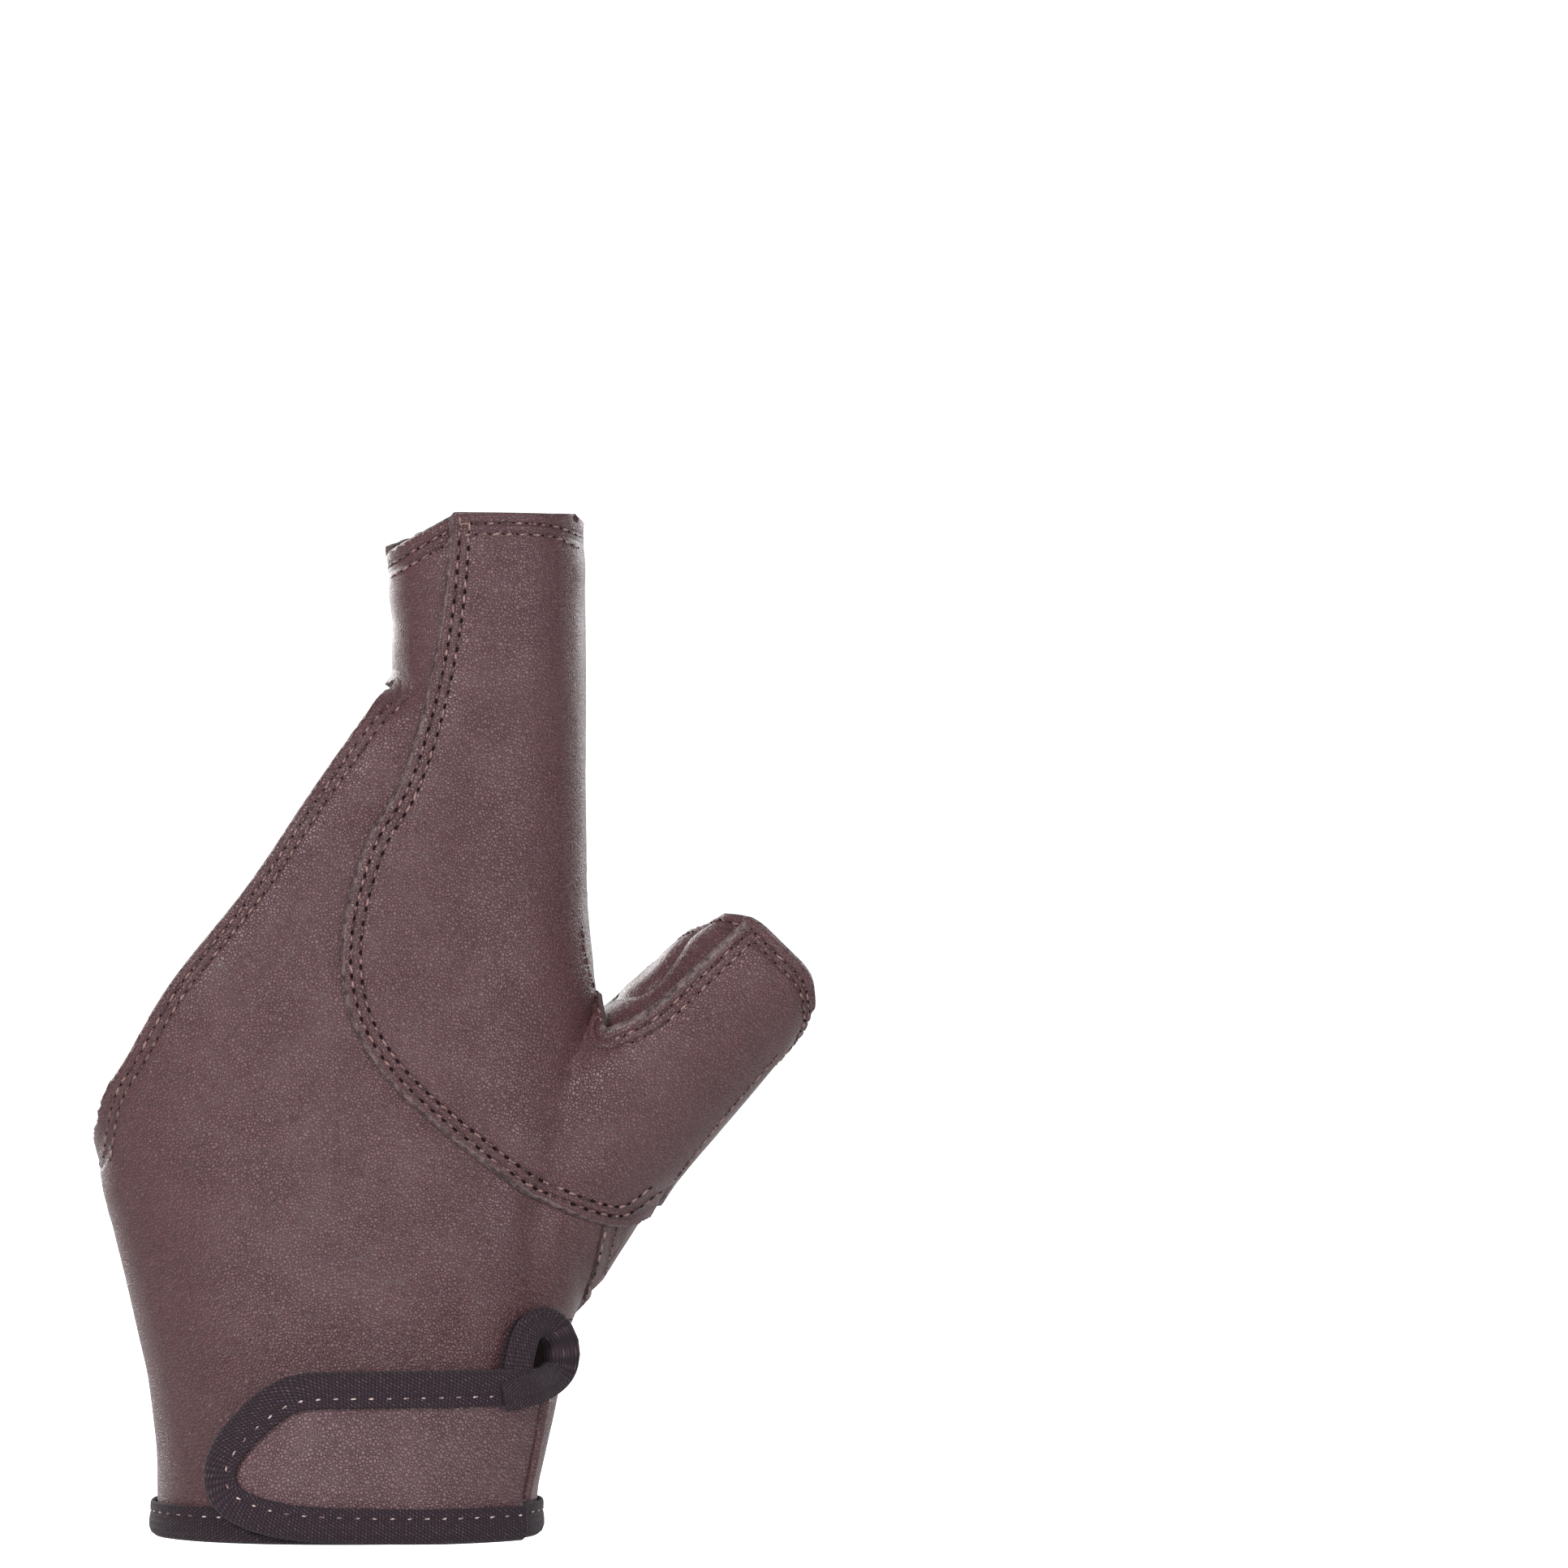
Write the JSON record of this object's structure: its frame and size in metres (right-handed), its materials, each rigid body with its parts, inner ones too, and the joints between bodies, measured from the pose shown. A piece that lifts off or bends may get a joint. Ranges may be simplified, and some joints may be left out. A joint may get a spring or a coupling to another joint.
{
  "type": "archery glove",
  "caption": "Left-hand bow glove of leather over the thumb, index finger and palm, with a gathered wrist and a closing strap.",
  "frame": {"origin": "middle of the wrist opening, level with the hem's lower edge", "axes": "+Z to the fingertips, +X to the thumb, -Y out of the back of the hand"},
  "size_m": [0.1113, 0.0482, 0.1586],
  "materials": {
    "leather": "plum-brown, fine pebble grain, soft satin",
    "binding": "dark knit tape with a line of stitches"
  },
  "bodies": {
    "root": {"back_panel": "leather", "index_thumb_panel": "leather", "palm_panel": "leather", "thumb_panel": "leather", "wrist_strap": "leather", "strap_binding": "binding", "wrist_binding": "binding", "vent_binding": "binding"}
  },
  "joints": []
}
